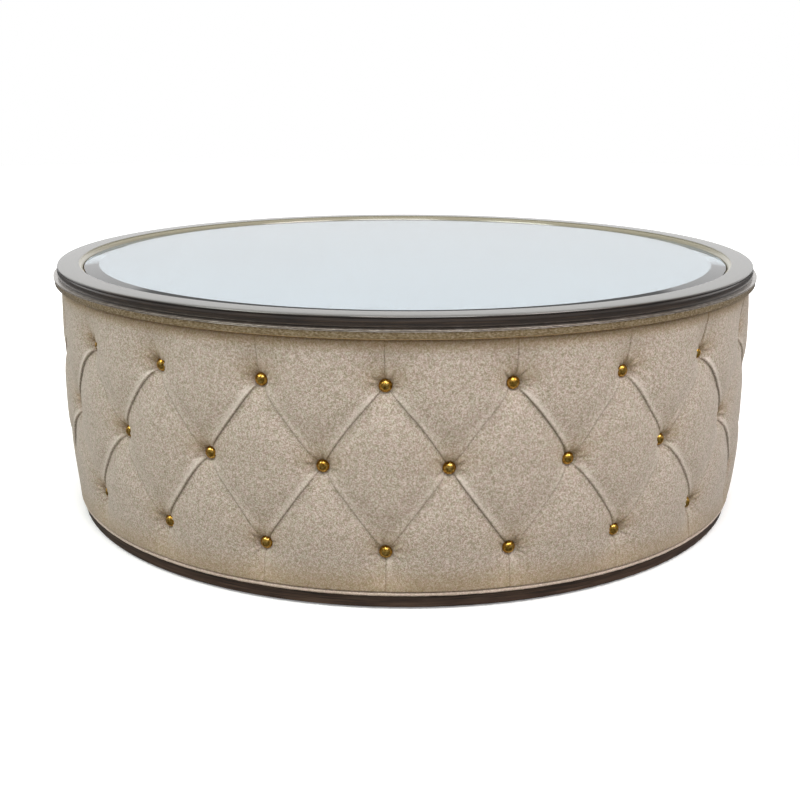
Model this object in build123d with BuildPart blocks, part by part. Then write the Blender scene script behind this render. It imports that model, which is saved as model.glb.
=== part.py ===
from build123d import *
import os
from math import cos, pi, radians, sin, sqrt

# A round coffee table: an upholstered drum with three rows of buttons in a diamond
# pattern, a wooden plinth under it, and a bevelled mirror laid in a wooden rim on top.
# Millimetres, +Z up, origin on the floor under the middle of the table, front to -Y.

# Whole table
overall_diameter = 1219.2
floor_gap = 3.0

# Clearances between neighbouring pieces, and the overrun of a cutting shape
fit_gap = 0.1
soft_gap = 0.3
screw_gap = 0.15
thread_gap = 0.06
overrun = 2.0

# Plinth ring
plinth_setback = 21.0
plinth_width = 65.0
plinth_height = 18.8
plinth_edge_radius = 2.0

# Welt cord, with the flange that is caught between the plinth and the drum
welt_radius = 2.6
welt_overhang = 1.2
flange_thickness = 1.2
dust_cover_thickness = 0.8

# Drum frame
drum_height = 368.1
board_thickness = 18.0
skin_thickness = 8.0
hoop_width = 60.0
middle_hoop_height = 232.0
rib_depth = 50.0
rib_thickness = 18.0
buttons_per_rib = 3
rail_width = 70.0

# Cushion and foam
foam_thickness = 14.7
foam_hole_radius = 6.0
seat_thickness = 4.7
tuft_depth = 26.0
crest_over_rim = 3.0
seam_rise = 12.0
seam_half_height = 2.0
least_flat = 1.0
least_swell = 0.2
cushion_top_inset = 5.0
pleat_top_drop = 2.0
cushion_bottom_inset = 16.0
pleat_swell = 1.0
upper_swell = 14.0
lower_swell = 17.0

# Buttons, with their ties and the discs that hold the ties inside the drum
buttons_per_row = 21
upper_row_height = 325.0
middle_row_height = 208.3
lower_row_height = 86.2
button_radius = 9.3
button_height = 7.2
button_edge = 1.4
button_seat_margin = 1.7
tie_radius = 0.9
tie_hole_radius = 2.0
tie_disc_radius = 9.0
tie_disc_thickness = 3.0

# Top: panel, leafed band, bead and moulded rim
panel_thickness = 15.0
panel_inset = 5.0
band_height = 9.3
band_setback = 1.6
bead_height = 2.8
bead_reach = 6.6
rim_width = 43.0
rim_height = 17.4
rim_edge_radius = 3.0
rim_cove_depth = 1.2
rim_cove_margin = 2.0
rim_land_width = 30.5
rim_crest_height = 0.4
rim_nose_width = 2.0
rim_inner_wall = 8.2
rim_inner_cove_depth = 1.6

# Mirror
mirror_gap = 1.0
bed_thickness = 5.0
mastic_thickness = 0.9
mastic_radius = 25.0
mastic_outer_count = 12
mastic_inner_count = 6
mastic_inset = 90.0
mastic_row_spacing = 230.0
silvering_thickness = 0.3
glass_thickness = 6.0
bevel_width = 25.0
bevel_drop = 2.3
glass_edge_break = 0.4

# Wood screws and dowels
screw_radius = 2.0
screw_head_radius = 4.2
screw_head_height = 2.6
screw_tip = 3.0
plinth_screw_length = 30.0
plinth_screw_count = 14
frame_screw_length = 45.0
panel_screw_length = 30.0
rim_screw_length = 25.0
rim_screw_count = 12
dowel_radius = 4.0
dowel_length = 40.0
dowel_spacing = 36.0

# Levelling glides
glide_count = 4
glide_setback = 45.0
pad_radius = 15.0
pad_height = 5.0
pad_edge = 1.0
pad_recess_gap = 1.5
stem_radius = 4.0
stem_length = 32.0
stem_socket = 3.0
stem_end_chamfer = 0.8
nut_flange_radius = 11.0
nut_flange_thickness = 1.5
nut_barrel_radius = 5.0
nut_barrel_length = 11.0
nut_lift = 0.8

# Heights of the stack, from the floor up
plinth_bottom = floor_gap
plinth_top = plinth_bottom + plinth_height
drum_bottom = plinth_top + flange_thickness
drum_top = drum_bottom + drum_height
panel_top = drum_top + panel_thickness
bed_top = panel_top + bed_thickness
mastic_top = bed_top + mastic_thickness
silvering_top = mastic_top + silvering_thickness
base_top = plinth_top + board_thickness
hoop_bottom = drum_top - board_thickness
middle_hoop_bottom = drum_bottom + middle_hoop_height
middle_hoop_top = middle_hoop_bottom + board_thickness

# Radii, from the outside in
bead_radius = overall_diameter / 2
rim_radius = bead_radius - bead_reach
rim_inner_radius = rim_radius - rim_width
band_radius = bead_radius - band_setback
panel_radius = rim_radius - panel_inset
crest_radius = rim_radius + crest_over_rim
seat_radius = crest_radius - tuft_depth
cushion_inner_radius = seat_radius - seat_thickness
foam_radius = cushion_inner_radius - soft_gap
foam_inner_radius = foam_radius - foam_thickness
skin_radius = foam_inner_radius - soft_gap
skin_inner_radius = skin_radius - skin_thickness
frame_radius = skin_inner_radius - fit_gap
hoop_inner_radius = frame_radius - hoop_width
plinth_radius = crest_radius - plinth_setback
plinth_inner_radius = plinth_radius - plinth_width
glass_radius = rim_inner_radius - mirror_gap
mirror_bed_radius = glass_radius - mirror_gap

# Bearings, in degrees: a button of the upper row looks straight out at the front
front = -90.0
full_turn = 360.0
button_pitch = full_turn / buttons_per_row
half_pitch = button_pitch / 2
quarter_share = 0.25
standing = (Align.CENTER, Align.CENTER, Align.MIN)


def ring_spots(radius, count, height, start):
    """Places evenly round a circle, each with its local Z up."""
    bearings = [start + full_turn * place / count for place in range(count)]
    return [Location((radius * cos(radians(b)), radius * sin(radians(b)), height), (0, 0, b)) for b in bearings]


def turned_over(spots):
    """The same places with local Z down, for a hole or a screw that goes in from below."""
    over = Location((0, 0, 0), (full_turn / 2, 0, 0))
    return [spot * over for spot in spots]


def countersunk_screw(length):
    """A wood screw with its flat head's face at the origin, its shank down local Z."""
    with BuildPart() as screw:
        with BuildSketch(Plane.XZ):
            with BuildLine():
                Polyline(
                    (0, 0),
                    (screw_head_radius, 0),
                    (screw_radius, -screw_head_height),
                    (screw_radius, screw_tip - length),
                    (0, -length),
                    close=True,
                )
            make_face()
        revolve(axis=Axis.Z)
    return screw.part


def screw_cutter(length):
    """The hole that a screw leaves: its own shape with the screw gap all round."""
    with BuildPart() as cutter:
        with BuildSketch(Plane.XZ):
            with BuildLine():
                Polyline(
                    (0, overrun),
                    (screw_head_radius + screw_gap, overrun),
                    (screw_head_radius + screw_gap, 0),
                    (screw_radius + screw_gap, -screw_head_height),
                    (screw_radius + screw_gap, screw_tip - length),
                    (0, -length - screw_gap),
                    close=True,
                )
            make_face()
        revolve(axis=Axis.Z)
    return cutter.part


def finish(piece, name):
    """Labels a finished piece and writes it to its own file."""
    piece.part.label = name
    export_step(piece.part, f"parts/{name}.step")


os.makedirs("parts", exist_ok=True)

# Places that more than one piece shares
rib_start = front + button_pitch * quarter_share
rib_count = buttons_per_row // buttons_per_rib
rib_radius = frame_radius - rib_depth / 2
glide_radius = plinth_radius - glide_setback
glide_start = front + full_turn / glide_count / 2
plinth_screw_start = front + full_turn / plinth_screw_count / 2
panel_screw_start = rib_start + full_turn / rib_count / 2
rail_bearings = [front + full_turn / 4 * quarter for quarter in range(4)]

glide_spots = ring_spots(glide_radius, glide_count, 0, glide_start)
plinth_screw_spots = turned_over(
    ring_spots(glide_radius - pad_edge, plinth_screw_count, plinth_bottom, plinth_screw_start)
)
lower_rib_screw_spots = turned_over(ring_spots(rib_radius, rib_count, plinth_top, rib_start))
upper_rib_screw_spots = ring_spots(rib_radius, rib_count, drum_top, rib_start)
panel_screw_spots = turned_over(
    ring_spots(hoop_inner_radius + hoop_width / 2, rib_count, hoop_bottom, panel_screw_start)
    + ring_spots(hoop_inner_radius / 2, len(rail_bearings), hoop_bottom, front)
)
rim_screw_spots = turned_over(
    ring_spots(rim_inner_radius + rim_width / 2, rim_screw_count, drum_top, front)
)

# How high the T-nut sits: its flange is let in above the pad's recess
pad_recess_top = pad_height + nut_lift
nut_flange_top = pad_recess_top + nut_flange_thickness
nut_barrel_top = nut_flange_top + nut_barrel_length
stem_bottom = pad_height - stem_socket
stem_top = stem_bottom + stem_length

# Plinth: a flat wooden ring with eased edges, bored for the glides and counterbored for screws
with BuildPart() as plinth_ring:
    with BuildSketch(Plane.XY.offset(plinth_bottom)):
        Circle(plinth_radius)
        Circle(plinth_inner_radius, mode=Mode.SUBTRACT)
    extrude(amount=plinth_height)
    fillet(plinth_ring.edges().filter_by(GeomType.CIRCLE).sort_by(SortBy.RADIUS)[-2:], plinth_edge_radius)
    with Locations(*glide_spots):
        for bore_radius, bore_top in (
            (pad_radius + pad_recess_gap, pad_recess_top),
            (nut_flange_radius + fit_gap, nut_flange_top),
            (nut_barrel_radius + fit_gap, nut_barrel_top),
            (stem_radius + soft_gap, stem_top),
        ):
            Cylinder(bore_radius, bore_top, align=standing, mode=Mode.SUBTRACT)
    with Locations(*plinth_screw_spots):
        add(screw_cutter(plinth_screw_length), mode=Mode.SUBTRACT)
finish(plinth_ring, "plinth_ring")

# Base panel: the drum's floor, a round board that the plinth is screwed to
with BuildPart() as base_panel:
    with BuildSketch(Plane.XY.offset(plinth_top)):
        Circle(frame_radius)
    extrude(amount=board_thickness)
    with Locations(*glide_spots):
        Cylinder(stem_radius + soft_gap, stem_top + overrun, align=standing, mode=Mode.SUBTRACT)
    with Locations(*plinth_screw_spots):
        add(screw_cutter(plinth_screw_length), mode=Mode.SUBTRACT)
    with Locations(*lower_rib_screw_spots):
        add(screw_cutter(frame_screw_length), mode=Mode.SUBTRACT)
finish(base_panel, "base_panel")

# Dust cover: black cloth under the base panel, inside the plinth
with BuildPart() as dust_cover:
    with BuildSketch(Plane.XY.offset(plinth_top - dust_cover_thickness)):
        Circle(plinth_inner_radius - soft_gap)
    extrude(amount=dust_cover_thickness)
finish(dust_cover, "dust_cover")

# Ribs: upright boards in two tiers, set on edge between base, middle hoop and upper hoop
with BuildPart() as lower_ribs:
    with BuildSketch(Plane.XY.offset(base_top)):
        with PolarLocations(rib_radius, rib_count, start_angle=rib_start):
            Rectangle(rib_depth - fit_gap, rib_thickness)
    extrude(amount=middle_hoop_bottom - base_top)
    with Locations(*lower_rib_screw_spots):
        add(screw_cutter(frame_screw_length), mode=Mode.SUBTRACT)
finish(lower_ribs, "lower_ribs")

with BuildPart() as upper_ribs:
    with BuildSketch(Plane.XY.offset(middle_hoop_top)):
        with PolarLocations(rib_radius, rib_count, start_angle=rib_start):
            Rectangle(rib_depth - fit_gap, rib_thickness)
    extrude(amount=hoop_bottom - middle_hoop_top)
    with Locations(*upper_rib_screw_spots):
        add(screw_cutter(frame_screw_length), mode=Mode.SUBTRACT)
finish(upper_ribs, "upper_ribs")

# Hoops: board rings that give the drum its round
with BuildPart() as middle_hoop:
    with BuildSketch(Plane.XY.offset(middle_hoop_bottom)):
        Circle(frame_radius)
        Circle(hoop_inner_radius, mode=Mode.SUBTRACT)
    extrude(amount=board_thickness)
finish(middle_hoop, "middle_hoop")

# Dowels lie level, two in each end of the cross rails
dowel_planes = [
    Plane(
        origin=(
            hoop_inner_radius * cos(radians(b)),
            hoop_inner_radius * sin(radians(b)),
            drum_top - board_thickness / 2,
        ),
        z_dir=(cos(radians(b)), sin(radians(b)), 0),
        x_dir=(-sin(radians(b)), cos(radians(b)), 0),
    )
    for b in rail_bearings
]
with BuildPart() as dowel_holes:
    for dowel_plane in dowel_planes:
        with BuildSketch(dowel_plane.offset(-dowel_length / 2 - soft_gap)):
            with GridLocations(dowel_spacing, 0, 2, 1):
                Circle(dowel_radius)
        extrude(amount=dowel_length + 2 * soft_gap)

with BuildPart() as upper_hoop:
    with BuildSketch(Plane.XY.offset(hoop_bottom)):
        Circle(frame_radius)
        Circle(hoop_inner_radius, mode=Mode.SUBTRACT)
    extrude(amount=board_thickness)
    add(dowel_holes.part, mode=Mode.SUBTRACT)
    with Locations(*upper_rib_screw_spots):
        add(screw_cutter(frame_screw_length), mode=Mode.SUBTRACT)
    with Locations(*panel_screw_spots):
        add(screw_cutter(panel_screw_length), mode=Mode.SUBTRACT)
finish(upper_hoop, "upper_hoop")

with BuildPart() as rail_dowels:
    for dowel_plane in dowel_planes:
        with BuildSketch(dowel_plane.offset(-dowel_length / 2)):
            with GridLocations(dowel_spacing, 0, 2, 1):
                Circle(dowel_radius)
        extrude(amount=dowel_length)
finish(rail_dowels, "rail_dowels")

# Cross rails: two boards under the top panel, halved into each other in the middle
with BuildPart() as cross_rail_long:
    with BuildSketch(Plane.XY.offset(hoop_bottom)):
        Circle(hoop_inner_radius - fit_gap)
        Rectangle(2 * hoop_inner_radius, rail_width, mode=Mode.INTERSECT)
    extrude(amount=board_thickness)
    with BuildSketch(Plane.XY.offset(drum_top - board_thickness / 2)):
        Rectangle(rail_width, rail_width + overrun)
    extrude(amount=board_thickness, mode=Mode.SUBTRACT)
    add(dowel_holes.part, mode=Mode.SUBTRACT)
    with Locations(*panel_screw_spots):
        add(screw_cutter(panel_screw_length), mode=Mode.SUBTRACT)
finish(cross_rail_long, "cross_rail_long")

with BuildPart() as cross_rail_short:
    with BuildSketch(Plane.XY.offset(hoop_bottom)):
        Circle(hoop_inner_radius - fit_gap)
        Rectangle(rail_width, 2 * hoop_inner_radius, mode=Mode.INTERSECT)
    extrude(amount=board_thickness)
    with BuildSketch(Plane.XY.offset(drum_top - board_thickness / 2)):
        Rectangle(rail_width + overrun, rail_width)
    extrude(amount=-board_thickness, mode=Mode.SUBTRACT)
    add(dowel_holes.part, mode=Mode.SUBTRACT)
    with Locations(*panel_screw_spots):
        add(screw_cutter(panel_screw_length), mode=Mode.SUBTRACT)
finish(cross_rail_short, "cross_rail_short")

# Rows of buttons: the middle row stands half a pitch round from the other two
row_heights = {"upper": upper_row_height, "middle": middle_row_height, "lower": lower_row_height}
row_starts = {"upper": front, "middle": front + half_pitch, "lower": front}


def radial_bores(radius, inner, outer):
    """Bores for the ties, one through the wall behind each button."""
    with BuildPart() as bores:
        for row, height in row_heights.items():
            with Locations(*ring_spots(inner, buttons_per_row, height, row_starts[row])):
                Cylinder(radius, outer - inner, rotation=(0, full_turn / 4, 0), align=standing)
    return bores.part


# Skin: bending plywood round the frame, bored for the ties
with BuildPart() as drum_skin:
    with BuildSketch(Plane.XY.offset(drum_bottom)):
        Circle(skin_radius)
        Circle(skin_inner_radius, mode=Mode.SUBTRACT)
    extrude(amount=drum_height)
    add(radial_bores(tie_hole_radius, skin_inner_radius - overrun, skin_radius + overrun), mode=Mode.SUBTRACT)
finish(drum_skin, "drum_skin")

# Foam: the firm layer that is glued round the skin, punched behind each button
with BuildPart() as foam_layer:
    with BuildSketch(Plane.XY.offset(drum_bottom + soft_gap)):
        Circle(foam_radius)
        Circle(foam_inner_radius, mode=Mode.SUBTRACT)
    extrude(amount=drum_height - 2 * soft_gap)
    add(radial_bores(foam_hole_radius, foam_inner_radius - overrun, foam_radius + overrun), mode=Mode.SUBTRACT)
finish(foam_layer, "foam_layer")

# Cushion: between two neighbouring bearings of the pattern, one of an upper and lower
# button and one of a middle button, the outline in a standing plane through the axis
# has two seams. They run from button to button, deep at the buttons and shallow halfway.
cushion_top = drum_top - soft_gap
cushion_bottom = plinth_top + 2 * welt_radius + 2 * soft_gap
seat_half_height = button_radius + button_seat_margin
seat_flat_share = seat_half_height / (seat_radius * radians(half_pitch))
seam_shares = (1 / 3, 2 / 3)


def outline_plane(bearing):
    """The standing plane through the axis at a bearing, local X outwards and local Y up."""
    return Plane(
        origin=(0, 0, 0),
        x_dir=(cos(radians(bearing)), sin(radians(bearing)), 0),
        z_dir=(sin(radians(bearing)), -cos(radians(bearing)), 0),
    )


def swelling_arc(start, end, swell):
    """An arc from start down to end that stands out from its chord by the swell."""
    chord = Vector(*end) - Vector(*start)
    outwards = Vector(-chord.Y, chord.X).normalized()
    return ThreePointArc(start, Vector(*start) + chord * 0.5 + outwards * swell, end)


def cushion_outline(bearing, share):
    """The cushion's section where the seams are this share of the way to the middle row."""
    lift = sin(pi * share)
    seam_radius = seat_radius + seam_rise * lift
    half_flat = seat_half_height + (seam_half_height - seat_half_height) * lift
    upper_seam = upper_row_height + (middle_row_height - upper_row_height) * share
    lower_seam = lower_row_height + (middle_row_height - lower_row_height) * share
    inner_flat = half_flat * (1 - share) - least_flat * share
    top_radius = rim_radius - cushion_top_inset - pleat_top_drop * (1 - share)
    bottom_radius = rim_radius - cushion_bottom_inset
    crown = least_swell + tuft_depth * (1 - share**3) - seam_rise * lift
    with BuildSketch(outline_plane(bearing)) as outline:
        with BuildLine():
            top = (top_radius, cushion_top)
            upper_high = (seam_radius, upper_seam + half_flat)
            upper_low = (seam_radius, upper_seam - inner_flat)
            lower_high = (seam_radius, lower_seam + inner_flat)
            lower_low = (seam_radius, lower_seam - half_flat)
            bottom = (bottom_radius, cushion_bottom)
            Line((cushion_inner_radius, cushion_top), top)
            swelling_arc(top, upper_high, pleat_swell + upper_swell * share)
            Line(upper_high, upper_low)
            swelling_arc(upper_low, lower_high, crown)
            Line(lower_high, lower_low)
            swelling_arc(lower_low, bottom, pleat_swell + lower_swell * share)
            Line(bottom, (cushion_inner_radius, cushion_bottom))
            Line((cushion_inner_radius, cushion_bottom), (cushion_inner_radius, cushion_top))
        make_face()
    return outline.sketch


# Half of one sector, from an upper button's bearing to the next middle button's. Next to
# each of the two bearings the outline stays the same for half a button's seat.
seat_outlines = [cushion_outline(front + half_pitch * stop, 0).face() for stop in (0, seat_flat_share)]
next_seat_outlines = [cushion_outline(front + half_pitch * stop, 1).face() for stop in (1 - seat_flat_share, 1)]
seam_outlines = [
    cushion_outline(front + half_pitch * (seat_flat_share + (1 - 2 * seat_flat_share) * share), share).face()
    for share in seam_shares
]
with BuildPart() as cushion_sector:
    loft(sections=seat_outlines, ruled=True)
    loft(sections=[seat_outlines[-1], *seam_outlines, next_seat_outlines[0]])
    loft(sections=next_seat_outlines, ruled=True)
    for row, height in row_heights.items():
        with Locations(*ring_spots(cushion_inner_radius - overrun, 1, height, row_starts[row])):
            Cylinder(
                tie_hole_radius,
                seat_thickness + 2 * overrun,
                rotation=(0, full_turn / 4, 0),
                align=standing,
                mode=Mode.SUBTRACT,
            )
    mirror(about=outline_plane(front))

with BuildPart() as tufted_cover:
    with PolarLocations(0, buttons_per_row):
        add(cushion_sector.part)
finish(tufted_cover, "tufted_cover")

# Buttons: metal domes on the seats of the cushion, local X outwards
button_back_radius = seat_radius + least_swell
dome_rise = button_height - button_edge
dome_radius = (button_radius**2 + dome_rise**2) / (2 * dome_rise)
with BuildPart() as button:
    with BuildSketch(Plane.XY):
        with BuildLine():
            Line((0, 0), (0, button_radius))
            Line((0, button_radius), (button_edge, button_radius))
            RadiusArc((button_edge, button_radius), (button_height, 0), dome_radius)
            Line((button_height, 0), (0, 0))
        make_face()
    revolve(axis=Axis.X)

for row, height in row_heights.items():
    with BuildPart() as button_row:
        with Locations(*ring_spots(button_back_radius, buttons_per_row, height, row_starts[row])):
            add(button.part)
    finish(button_row, f"{row}_buttons")

# Ties: waxed twine from each button to a disc that lies against the inside of the skin
disc_face_radius = sqrt(skin_inner_radius**2 - tie_disc_radius**2) - fit_gap
with BuildPart() as button_ties:
    for row, height in row_heights.items():
        with Locations(*ring_spots(disc_face_radius, buttons_per_row, height, row_starts[row])):
            Cylinder(
                tie_radius,
                button_back_radius - disc_face_radius,
                rotation=(0, full_turn / 4, 0),
                align=standing,
            )
finish(button_ties, "button_ties")

with BuildPart() as tie_discs:
    for row, height in row_heights.items():
        with Locations(*ring_spots(disc_face_radius, buttons_per_row, height, row_starts[row])):
            Cylinder(tie_disc_radius, tie_disc_thickness, rotation=(0, -full_turn / 4, 0), align=standing)
finish(tie_discs, "tie_discs")

# Welt: a covered cord at the foot of the drum, on a flange that the plinth clamps
welt_centre_radius = plinth_radius + welt_overhang
with BuildPart() as welt_cord:
    with BuildSketch(Plane.XZ):
        with Locations((welt_centre_radius, plinth_top + welt_radius + soft_gap)):
            Circle(welt_radius)
        with Locations((frame_radius + soft_gap, plinth_top)):
            Rectangle(
                welt_centre_radius - welt_radius / 2 - frame_radius,
                flange_thickness,
                align=(Align.MIN, Align.MIN),
            )
    revolve(axis=Axis.Z)
finish(welt_cord, "welt_cord")

# Top panel: the board that closes the drum and carries the rim and the mirror
with BuildPart() as top_panel:
    with BuildSketch(Plane.XY.offset(drum_top)):
        Circle(panel_radius)
    extrude(amount=panel_thickness)
    with Locations(*panel_screw_spots):
        add(screw_cutter(panel_screw_length), mode=Mode.SUBTRACT)
    with Locations(*rim_screw_spots):
        add(screw_cutter(rim_screw_length), mode=Mode.SUBTRACT)
finish(top_panel, "top_panel")

# Leafed band and bead round the panel's edge, under the rim
bead_bottom = panel_top - bead_height
band_bottom = bead_bottom - band_height
with BuildPart() as leaf_band:
    with BuildSketch(Plane.XY.offset(band_bottom)):
        Circle(band_radius)
        Circle(panel_radius + fit_gap, mode=Mode.SUBTRACT)
    extrude(amount=band_height)
finish(leaf_band, "leaf_band")

with BuildPart() as bead_ring:
    with BuildSketch(Plane.XZ):
        with BuildLine():
            bead_shoulder = bead_radius - bead_height / 2
            Line((bead_shoulder, panel_top), (panel_radius + fit_gap, panel_top))
            Line((panel_radius + fit_gap, panel_top), (panel_radius + fit_gap, bead_bottom))
            Line((panel_radius + fit_gap, bead_bottom), (bead_shoulder, bead_bottom))
            ThreePointArc(
                (bead_shoulder, bead_bottom),
                (bead_radius, bead_bottom + bead_height / 2),
                (bead_shoulder, panel_top),
            )
        make_face()
    revolve(axis=Axis.Z)
finish(bead_ring, "bead_ring")

# Rim: a turned moulding with a shallow cove outside, a flat land, a fine raised nose at
# the land's inner edge and a cove that falls to the mirror
land_height = panel_top + rim_height - rim_crest_height
cove_low = panel_top + rim_cove_margin
cove_high = land_height - rim_edge_radius - rim_cove_margin
nose_radius = rim_radius - rim_land_width
with BuildPart() as top_rim:
    with BuildSketch(Plane.XZ):
        with BuildLine():
            Line((rim_inner_radius, panel_top), (rim_radius, panel_top))
            Line((rim_radius, panel_top), (rim_radius, cove_low))
            ThreePointArc(
                (rim_radius, cove_low),
                (rim_radius - rim_cove_depth, (cove_low + cove_high) / 2),
                (rim_radius, cove_high),
            )
            Line((rim_radius, cove_high), (rim_radius, land_height - rim_edge_radius))
            CenterArc(
                (rim_radius - rim_edge_radius, land_height - rim_edge_radius),
                rim_edge_radius,
                0,
                full_turn / 4,
            )
            Line((rim_radius - rim_edge_radius, land_height), (nose_radius + rim_nose_width, land_height))
            ThreePointArc(
                (nose_radius + rim_nose_width, land_height),
                (nose_radius, land_height + rim_crest_height),
                (nose_radius - rim_nose_width, land_height),
            )
            cove_start = Vector(nose_radius - rim_nose_width, land_height)
            cove_end = Vector(rim_inner_radius, panel_top + rim_inner_wall)
            cove_fall = cove_end - cove_start
            into_wood = Vector(-cove_fall.Y, cove_fall.X).normalized()
            ThreePointArc(
                cove_start,
                cove_start + cove_fall * 0.5 + into_wood * rim_inner_cove_depth,
                cove_end,
            )
            Line(cove_end, (rim_inner_radius, panel_top))
        make_face()
    revolve(axis=Axis.Z)
    with Locations(*rim_screw_spots):
        add(screw_cutter(rim_screw_length), mode=Mode.SUBTRACT)
finish(top_rim, "top_rim")

# Mirror: a hardboard bed, dabs of mastic, the silvered back and the bevelled glass
with BuildPart() as mirror_bed:
    with BuildSketch(Plane.XY.offset(panel_top)):
        Circle(mirror_bed_radius)
    extrude(amount=bed_thickness)
finish(mirror_bed, "mirror_bed")

mastic_ring_radius = mirror_bed_radius - mastic_inset
with BuildPart() as mirror_mastic:
    with BuildSketch(Plane.XY.offset(bed_top)):
        with PolarLocations(mastic_ring_radius, mastic_outer_count):
            Circle(mastic_radius)
        with PolarLocations(mastic_ring_radius - mastic_row_spacing, mastic_inner_count):
            Circle(mastic_radius)
    extrude(amount=mastic_thickness)
finish(mirror_mastic, "mirror_mastic")

with BuildPart() as mirror_silvering:
    with BuildSketch(Plane.XY.offset(mastic_top)):
        Circle(glass_radius - glass_edge_break)
    extrude(amount=silvering_thickness)
finish(mirror_silvering, "mirror_silvering")

glass_top = silvering_top + glass_thickness
with BuildPart() as mirror_glass:
    with BuildSketch(Plane.XZ):
        with BuildLine():
            Polyline(
                (0, silvering_top),
                (glass_radius - glass_edge_break, silvering_top),
                (glass_radius, silvering_top + glass_edge_break),
                (glass_radius, glass_top - bevel_drop),
                (glass_radius - bevel_width, glass_top),
                (0, glass_top),
                close=True,
            )
        make_face()
    revolve(axis=Axis.Z)
finish(mirror_glass, "mirror_glass")

# Screws, one piece for each group of like ones
with BuildPart() as plinth_screws:
    with Locations(*plinth_screw_spots):
        add(countersunk_screw(plinth_screw_length))
finish(plinth_screws, "plinth_screws")

with BuildPart() as rib_screws:
    with Locations(*lower_rib_screw_spots, *upper_rib_screw_spots):
        add(countersunk_screw(frame_screw_length))
finish(rib_screws, "rib_screws")

with BuildPart() as panel_screws:
    with Locations(*panel_screw_spots):
        add(countersunk_screw(panel_screw_length))
finish(panel_screws, "panel_screws")

with BuildPart() as rim_screws:
    with Locations(*rim_screw_spots):
        add(countersunk_screw(rim_screw_length))
finish(rim_screws, "rim_screws")

# T-nuts: flanged sleeves let into the plinth, threaded for the glides
with BuildPart() as tee_nuts:
    with Locations(*[spot * Location((0, 0, pad_recess_top)) for spot in glide_spots]):
        Cylinder(nut_flange_radius, nut_flange_thickness, align=standing)
        Cylinder(nut_barrel_radius, nut_flange_thickness + nut_barrel_length, align=standing)
        Cylinder(
            stem_radius + thread_gap,
            nut_flange_thickness + nut_barrel_length,
            align=standing,
            mode=Mode.SUBTRACT,
        )
finish(tee_nuts, "tee_nuts")

# Glides: a threaded stem in each T-nut, its foot pressed into a round pad on the floor
for number, spot in enumerate(glide_spots, start=1):
    with BuildPart() as glide_stem:
        with Locations(spot * Location((0, 0, stem_bottom))):
            Cylinder(stem_radius, stem_length, align=standing)
        chamfer(glide_stem.edges().filter_by(GeomType.CIRCLE).group_by(Axis.Z)[-1], stem_end_chamfer)
    finish(glide_stem, f"glide_stem_{number}")

    with BuildPart() as glide_pad:
        with Locations(spot):
            Cylinder(pad_radius, pad_height, align=standing)
        chamfer(glide_pad.edges().filter_by(GeomType.CIRCLE), pad_edge)
        with Locations(spot * Location((0, 0, stem_bottom))):
            Cylinder(stem_radius, stem_socket + overrun, align=standing, mode=Mode.SUBTRACT)
    finish(glide_pad, f"glide_pad_{number}")
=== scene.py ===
import bpy
import numpy as np
from mathutils import Matrix, Vector


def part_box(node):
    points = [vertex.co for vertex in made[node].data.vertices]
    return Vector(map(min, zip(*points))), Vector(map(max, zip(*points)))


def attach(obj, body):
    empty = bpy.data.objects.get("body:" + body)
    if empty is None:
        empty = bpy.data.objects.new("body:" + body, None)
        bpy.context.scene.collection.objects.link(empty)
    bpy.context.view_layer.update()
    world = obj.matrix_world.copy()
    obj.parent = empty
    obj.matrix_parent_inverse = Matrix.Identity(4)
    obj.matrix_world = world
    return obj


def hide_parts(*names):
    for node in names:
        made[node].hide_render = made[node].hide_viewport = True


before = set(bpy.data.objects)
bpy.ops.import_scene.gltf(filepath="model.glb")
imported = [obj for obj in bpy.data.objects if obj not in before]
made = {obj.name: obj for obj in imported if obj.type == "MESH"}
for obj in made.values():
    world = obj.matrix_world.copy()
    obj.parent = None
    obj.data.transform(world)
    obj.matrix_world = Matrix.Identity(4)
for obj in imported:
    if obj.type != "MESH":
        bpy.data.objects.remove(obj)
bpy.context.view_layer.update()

# Levelling glides: four black nylon pads moulded on zinc-plated steel screws, which
# turn in tee nuts driven into the base panel. Turning one lowers or lifts its pad.
pad_black = "#1c1c1e"
pad_shadow = "#141416"
pad_texture = 0.6  # the spark texture of the mould, in millimetres, coarser than real to show
zinc_grey = "#b9bcc0"
zinc_shadow = "#85898f"
zinc_bloom = 2.5  # the plating's patches, in millimetres
glide_numbers = range(1, 5)


def linear(shade):
    """Turns one sRGB hex colour into linear red, green, blue and a full alpha, by the sRGB curve."""
    c = np.array([int(shade[i : i + 2], 16) for i in (1, 3, 5)]) / 255
    return (*np.where(c > 0.04045, ((c + 0.055) / 1.055) ** 2.4, c / 12.92).tolist(), 1)


def add(tree, kind, settings=(), inputs=(), stops=()):
    """Adds one node, sets its own settings, fills or links its sockets, and gives a ramp
    its stops."""
    new = tree.nodes.new(kind)
    for name, value in dict(settings).items():
        setattr(new, name, value)
    for name, value in dict(inputs).items():
        if isinstance(value, bpy.types.NodeSocket):
            tree.links.new(value, new.inputs[name])
        else:
            new.inputs[name].default_value = value
    for i, (place, shade) in enumerate(stops):
        stop = new.color_ramp.elements[i] if i < 2 else new.color_ramp.elements.new(place)
        stop.position = place
        stop.color = linear(shade)
    return new


def new_finish(name, **sockets):
    """A material with one principled shader, whose plain sockets are given here."""
    finish = bpy.data.materials.new(name)
    finish.use_nodes = True
    tree = finish.node_tree
    shader = tree.nodes["Principled BSDF"]
    for socket, value in sockets.items():
        shader.inputs[socket.replace("_", " ")].default_value = value
    return finish, tree, shader


def per_metre(millimetres):
    """The noise scale, in cycles a metre, whose cycle is so many millimetres."""
    return 1000 / millimetres


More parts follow.
